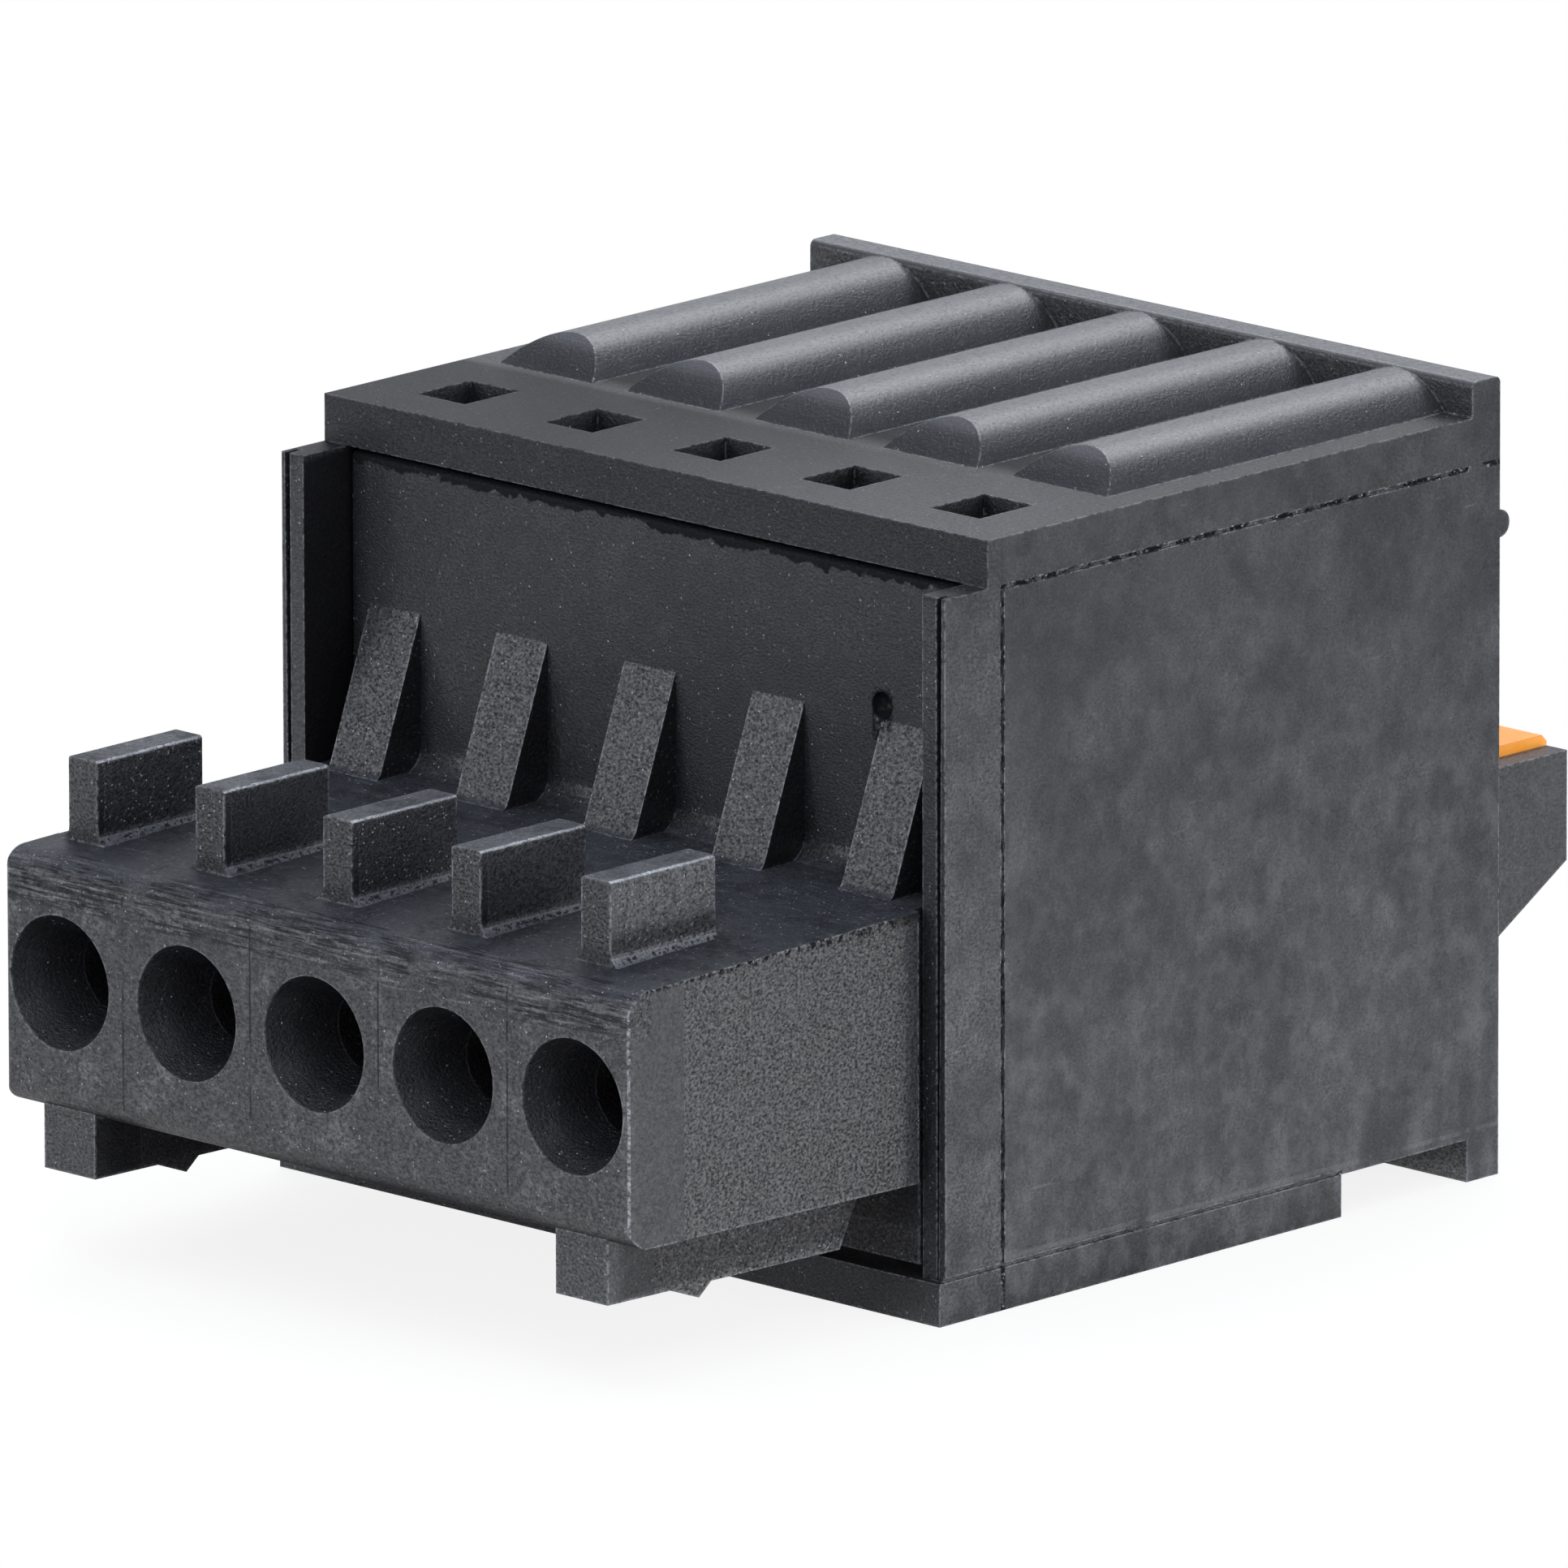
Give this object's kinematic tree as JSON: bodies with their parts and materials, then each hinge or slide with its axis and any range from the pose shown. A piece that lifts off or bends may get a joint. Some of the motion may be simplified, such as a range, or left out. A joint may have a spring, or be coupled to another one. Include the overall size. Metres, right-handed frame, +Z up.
{
  "type": "pluggable terminal block",
  "caption": "Black plug with a row of spring-clamp wire entries, orange release buttons at the back and a keyed nose of pin sockets for a board header.",
  "frame": {"origin": "centre of the bounding box in plan, on the plane of the base plate's underside", "axes": "X along the row of poles, -Y the way the plug is pushed into its header, +Z up from the base plate to the wire entries"},
  "size_m": [0.013, 0.0192, 0.0116],
  "materials": {
    "black_plastic": "fine eroded texture",
    "orange_plastic": "satin",
    "spring_steel": "rolled",
    "tinned_copper": "bright tin plate"
  },
  "bodies": {
    "plug_body": {"housing": "black_plastic", "contact_carrier": "black_plastic", "clamp_spring_1": "spring_steel", "clamp_spring_2": "spring_steel", "clamp_spring_3": "spring_steel", "clamp_spring_4": "spring_steel", "clamp_spring_5": "spring_steel", "current_bar_1": "tinned_copper", "current_bar_2": "tinned_copper", "current_bar_3": "tinned_copper", "current_bar_4": "tinned_copper", "current_bar_5": "tinned_copper", "contact_socket_1": "tinned_copper", "contact_socket_2": "tinned_copper", "contact_socket_3": "tinned_copper", "contact_socket_4": "tinned_copper", "contact_socket_5": "tinned_copper"},
    "button_1": {"release_button_1": "orange_plastic"},
    "button_2": {"release_button_2": "orange_plastic"},
    "button_3": {"release_button_3": "orange_plastic"},
    "button_4": {"release_button_4": "orange_plastic"},
    "button_5": {"release_button_5": "orange_plastic"}
  },
  "joints": [
    {"name": "press_1", "type": "slide", "parent": "plug_body", "child": "button_1", "axis": [0, -1, 0], "range_m": [0, 0.0009], "stiffness_N_per_m": 4000, "deforming": ["clamp_spring_1"]},
    {"name": "press_2", "type": "slide", "parent": "plug_body", "child": "button_2", "axis": [0, -1, 0], "range_m": [0, 0.0009], "stiffness_N_per_m": 4000, "deforming": ["clamp_spring_2"]},
    {"name": "press_3", "type": "slide", "parent": "plug_body", "child": "button_3", "axis": [0, -1, 0], "range_m": [0, 0.0009], "stiffness_N_per_m": 4000, "deforming": ["clamp_spring_3"]},
    {"name": "press_4", "type": "slide", "parent": "plug_body", "child": "button_4", "axis": [0, -1, 0], "range_m": [0, 0.0009], "stiffness_N_per_m": 4000, "deforming": ["clamp_spring_4"]},
    {"name": "press_5", "type": "slide", "parent": "plug_body", "child": "button_5", "axis": [0, -1, 0], "range_m": [0, 0.0009], "stiffness_N_per_m": 4000, "deforming": ["clamp_spring_5"]}
  ]
}
